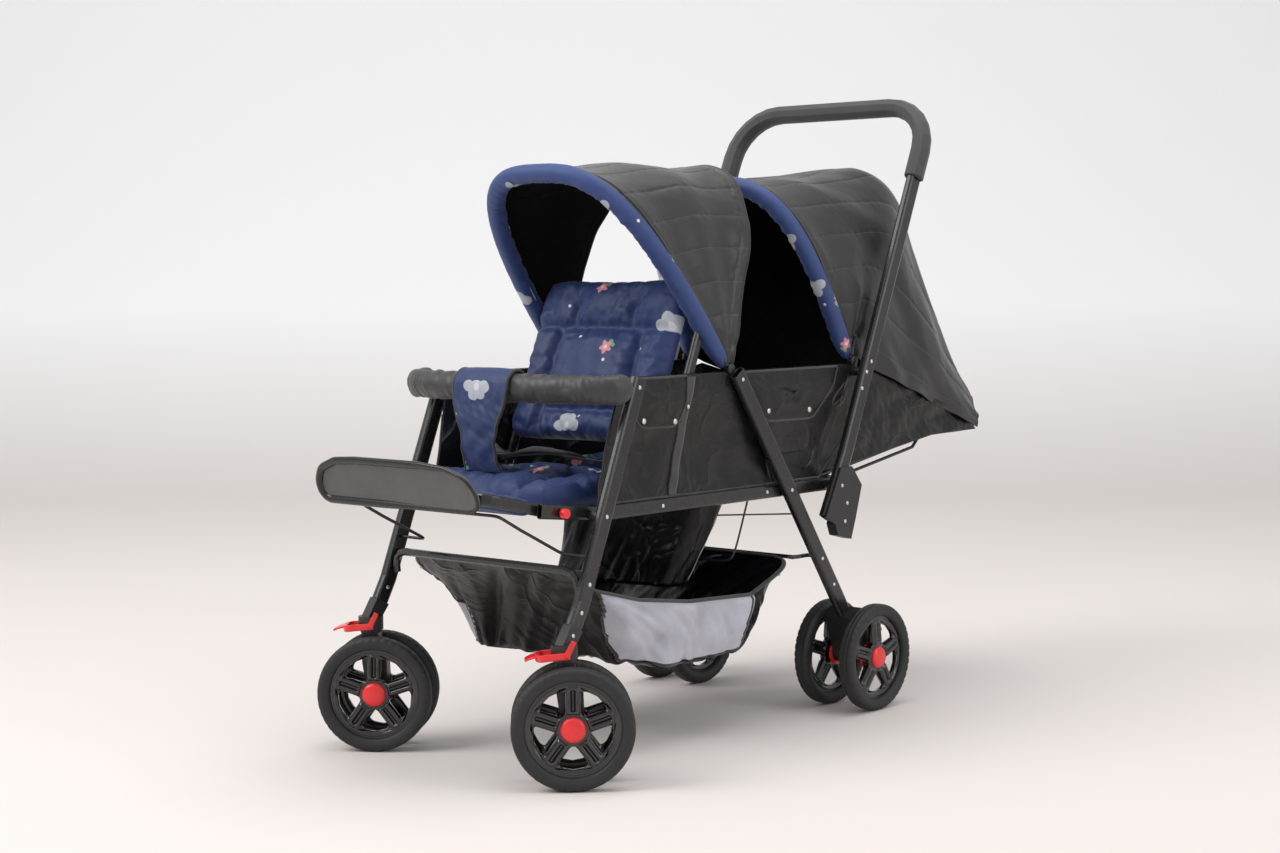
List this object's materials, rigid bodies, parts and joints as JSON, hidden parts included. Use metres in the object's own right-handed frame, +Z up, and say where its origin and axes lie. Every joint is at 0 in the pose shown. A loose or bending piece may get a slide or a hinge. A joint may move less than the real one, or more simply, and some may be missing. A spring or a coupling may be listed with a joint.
{
  "type": "double stroller",
  "caption": "Tandem double stroller with a folding tube frame, front and rear padded seats, two hooded canopies, leg rest, basket and twin wheels.",
  "frame": {"origin": "on the floor, under the middle of the overall box of the stroller at rest", "axes": "+Z up; -Y the way it travels, with the front seat and the leg rest there; +X the riders' left"},
  "size_m": [0.5986, 1.3121, 1.0355],
  "materials": {
    "frame_black": "satin black paint",
    "wire_black": "black coated wire",
    "plastic_black": "matte black",
    "plastic_charcoal": "matte charcoal",
    "plastic_grey": "matte dark grey",
    "plastic_red": "bright red",
    "rim_black": "gloss black",
    "foam_grey": "fine foam",
    "tyre_black": "matte moulded",
    "fabric_black": "woven, slight sheen",
    "fabric_navy": "printed, padded"
  },
  "bodies": {
    "seat_frame": {"seat_rail": "frame_black", "front_seat_cushion": "fabric_navy", "rear_seat_cushion": "fabric_navy", "footwell_bag": "fabric_black", "basket": "fabric_black"},
    "front_legs": {"front_leg_left": "frame_black", "front_leg_right": "frame_black", "caster_socket_left": "plastic_black", "caster_socket_right": "plastic_black", "basket_hoop": "frame_black"},
    "armrests": {"armrest_left": "frame_black", "armrest_right": "frame_black", "side_panel_left": "fabric_black", "side_panel_right": "fabric_black", "front_canopy_fabric": "fabric_black", "rear_canopy_fabric": "fabric_black"},
    "handle": {"handle_tube": "frame_black", "handle_grip": "foam_grey", "latch_housing_left": "plastic_charcoal", "latch_housing_right": "plastic_charcoal"},
    "rear_legs": {"rear_leg_frame": "frame_black", "axle_block_left": "plastic_black", "axle_block_right": "plastic_black"},
    "front_back": {"front_back_frame": "frame_black", "front_back_pad": "fabric_navy"},
    "rear_back": {"rear_back_frame": "frame_black", "rear_back_pad": "fabric_navy"},
    "legrest": {"legrest_frame": "frame_black", "foot_plate": "plastic_grey", "legrest_pad": "fabric_navy"},
    "legrest_stay": {"legrest_stay": "wire_black"},
    "bumper": {"bumper_bar": "fabric_black", "crotch_strap": "fabric_navy"},
    "front_canopy": {"front_canopy_hoop": "wire_black"},
    "rear_canopy": {"rear_canopy_hoop": "wire_black"},
    "caster_left": {"caster_fork_left": "plastic_black"},
    "swivel_lock_left": {"swivel_lock_left": "plastic_red"},
    "brake_pedal_left": {"brake_pedal_left": "plastic_red"},
    "release_knob_left": {"release_knob_left": "plastic_red"},
    "wheel_front_left_outer": {"rim_front_left_outer": "rim_black", "tyre_front_left_outer": "tyre_black"},
    "wheel_front_left_inner": {"rim_front_left_inner": "rim_black", "tyre_front_left_inner": "tyre_black"},
    "wheel_rear_left_outer": {"rim_rear_left_outer": "rim_black", "tyre_rear_left_outer": "tyre_black"},
    "wheel_rear_left_inner": {"rim_rear_left_inner": "rim_black", "tyre_rear_left_inner": "tyre_black"},
    "caster_right": {"caster_fork_right": "plastic_black"},
    "swivel_lock_right": {"swivel_lock_right": "plastic_red"},
    "brake_pedal_right": {"brake_pedal_right": "plastic_red"},
    "release_knob_right": {"release_knob_right": "plastic_red"},
    "wheel_front_right_outer": {"rim_front_right_outer": "rim_black", "tyre_front_right_outer": "tyre_black"},
    "wheel_front_right_inner": {"rim_front_right_inner": "rim_black", "tyre_front_right_inner": "tyre_black"},
    "wheel_rear_right_outer": {"rim_rear_right_outer": "rim_black", "tyre_rear_right_outer": "tyre_black"},
    "wheel_rear_right_inner": {"rim_rear_right_inner": "rim_black", "tyre_rear_right_inner": "tyre_black"}
  },
  "joints": [
    {"name": "frame_fold", "type": "hinge", "parent": "seat_frame", "child": "front_legs", "pos_m": [0, -0.42144, 0.382], "axis": [1, 0, 0], "range_deg": [0, 60], "deforming": ["side_panel_left", "side_panel_right", "basket", "footwell_bag", "crotch_strap", "front_canopy_fabric", "rear_canopy_fabric"]},
    {"name": "armrest_fold", "type": "hinge", "parent": "front_legs", "child": "armrests", "pos_m": [0, -0.34543, 0.567], "axis": [-1, 0, 0], "range_deg": [0, 60]},
    {"name": "handle_fold", "type": "hinge", "parent": "seat_frame", "child": "handle", "pos_m": [0, 0.15557, 0.382], "axis": [1, 0, 0], "range_deg": [0, 60]},
    {"name": "back_fold", "type": "hinge", "parent": "seat_frame", "child": "front_back", "pos_m": [0, -0.25844, 0.382], "axis": [1, 0, 0], "range_deg": [0, 60]},
    {"name": "rear_leg_fold", "type": "hinge", "parent": "armrests", "child": "rear_legs", "pos_m": [0, -0.08143, 0.567], "axis": [1, 0, 0], "range_deg": [0, 26]},
    {"name": "rear_back_raise", "type": "hinge", "parent": "seat_frame", "child": "rear_back", "pos_m": [0, 0.12757, 0.384], "axis": [1, 0, 0], "range_deg": [0, 45]},
    {"name": "legrest_lower", "type": "hinge", "parent": "seat_frame", "child": "legrest", "pos_m": [0, -0.51043, 0.396], "axis": [1, 0, 0], "range_deg": [0, 40]},
    {"name": "stay_follow", "type": "hinge", "parent": "front_legs", "child": "legrest_stay", "pos_m": [0, -0.44394, 0.325], "axis": [1, 0, 0], "range_deg": [0, 25]},
    {"name": "bumper_swing", "type": "hinge", "parent": "front_legs", "child": "bumper", "pos_m": [-0.2065, -0.38255, 0.566], "axis": [0, 0, -1], "range_deg": [0, 90], "deforming": ["crotch_strap"]},
    {"name": "front_canopy_fold", "type": "hinge", "parent": "armrests", "child": "front_canopy", "pos_m": [0, -0.09544, 0.58017], "axis": [-1, 0, 0], "range_deg": [0, 30], "deforming": ["front_canopy_fabric"]},
    {"name": "rear_canopy_fold", "type": "hinge", "parent": "armrests", "child": "rear_canopy", "pos_m": [0, 0.23456, 0.57971], "axis": [-1, 0, 0], "range_deg": [0, 52], "deforming": ["rear_canopy_fabric"]},
    {"name": "caster_swivel_left", "type": "hinge", "parent": "front_legs", "child": "caster_left", "pos_m": [0.2065, -0.50643, 0.1855], "axis": [0, 0, 1], "continuous": true},
    {"name": "swivel_lock_lift_left", "type": "hinge", "parent": "caster_left", "child": "swivel_lock_left", "pos_m": [0.20938, -0.50366, 0.1925], "axis": [-0.6947, 0.7193, 0], "range_deg": [0, 20]},
    {"name": "wheel_front_left_outer_spin", "type": "hinge", "parent": "caster_left", "child": "wheel_front_left_outer", "pos_m": [0.23595, -0.52109, 0.08929], "axis": [0.6947, -0.7193, 0], "continuous": true},
    {"name": "wheel_front_left_inner_spin", "type": "hinge", "parent": "caster_left", "child": "wheel_front_left_inner", "pos_m": [0.19288, -0.4765, 0.08929], "axis": [0.6947, -0.7193, 0], "continuous": true},
    {"name": "wheel_rear_left_outer_spin", "type": "hinge", "parent": "rear_legs", "child": "wheel_rear_left_outer", "pos_m": [0.237, 0.22057, 0.08929], "axis": [1, 0, 0], "continuous": true},
    {"name": "wheel_rear_left_inner_spin", "type": "hinge", "parent": "rear_legs", "child": "wheel_rear_left_inner", "pos_m": [0.145, 0.22057, 0.08929], "axis": [1, 0, 0], "continuous": true},
    {"name": "brake_press_left", "type": "hinge", "parent": "rear_legs", "child": "brake_pedal_left", "pos_m": [0.191, 0.23716, 0.13379], "axis": [-1, 0, 0], "range_deg": [0, 20]},
    {"name": "release_knob_pull_left", "type": "slide", "parent": "seat_frame", "child": "release_knob_left", "axis": [1, 0, 0], "range_m": [0, 0.004], "stiffness_N_per_m": 200},
    {"name": "caster_swivel_right", "type": "hinge", "parent": "front_legs", "child": "caster_right", "pos_m": [-0.2065, -0.50643, 0.1855], "axis": [0, 0, 1], "continuous": true},
    {"name": "swivel_lock_lift_right", "type": "hinge", "parent": "caster_right", "child": "swivel_lock_right", "pos_m": [-0.20326, -0.50408, 0.1925], "axis": [-0.5878, 0.809, 0], "range_deg": [0, 20]},
    {"name": "wheel_front_right_outer_spin", "type": "hinge", "parent": "caster_right", "child": "wheel_front_right_outer", "pos_m": [-0.21582, -0.47489, 0.08929], "axis": [0.5878, -0.809, 0], "continuous": true},
    {"name": "wheel_front_right_inner_spin", "type": "hinge", "parent": "caster_right", "child": "wheel_front_right_inner", "pos_m": [-0.17938, -0.52505, 0.08929], "axis": [0.5878, -0.809, 0], "continuous": true},
    {"name": "wheel_rear_right_outer_spin", "type": "hinge", "parent": "rear_legs", "child": "wheel_rear_right_outer", "pos_m": [-0.237, 0.22057, 0.08929], "axis": [1, 0, 0], "continuous": true},
    {"name": "wheel_rear_right_inner_spin", "type": "hinge", "parent": "rear_legs", "child": "wheel_rear_right_inner", "pos_m": [-0.145, 0.22057, 0.08929], "axis": [1, 0, 0], "continuous": true},
    {"name": "brake_press_right", "type": "hinge", "parent": "rear_legs", "child": "brake_pedal_right", "pos_m": [-0.191, 0.23716, 0.13379], "axis": [-1, 0, 0], "range_deg": [0, 20]},
    {"name": "release_knob_pull_right", "type": "slide", "parent": "seat_frame", "child": "release_knob_right", "axis": [-1, 0, 0], "range_m": [0, 0.004], "stiffness_N_per_m": 200}
  ],
  "couplings": [
    {"joint": "armrest_fold", "follows": "frame_fold", "ratio": 1},
    {"joint": "handle_fold", "follows": "frame_fold", "ratio": 1},
    {"joint": "back_fold", "follows": "frame_fold", "ratio": 1},
    {"joint": "rear_leg_fold", "follows": "frame_fold", "ratio": 0.42},
    {"joint": "stay_follow", "follows": "legrest_lower", "ratio": 0.6}
  ]
}
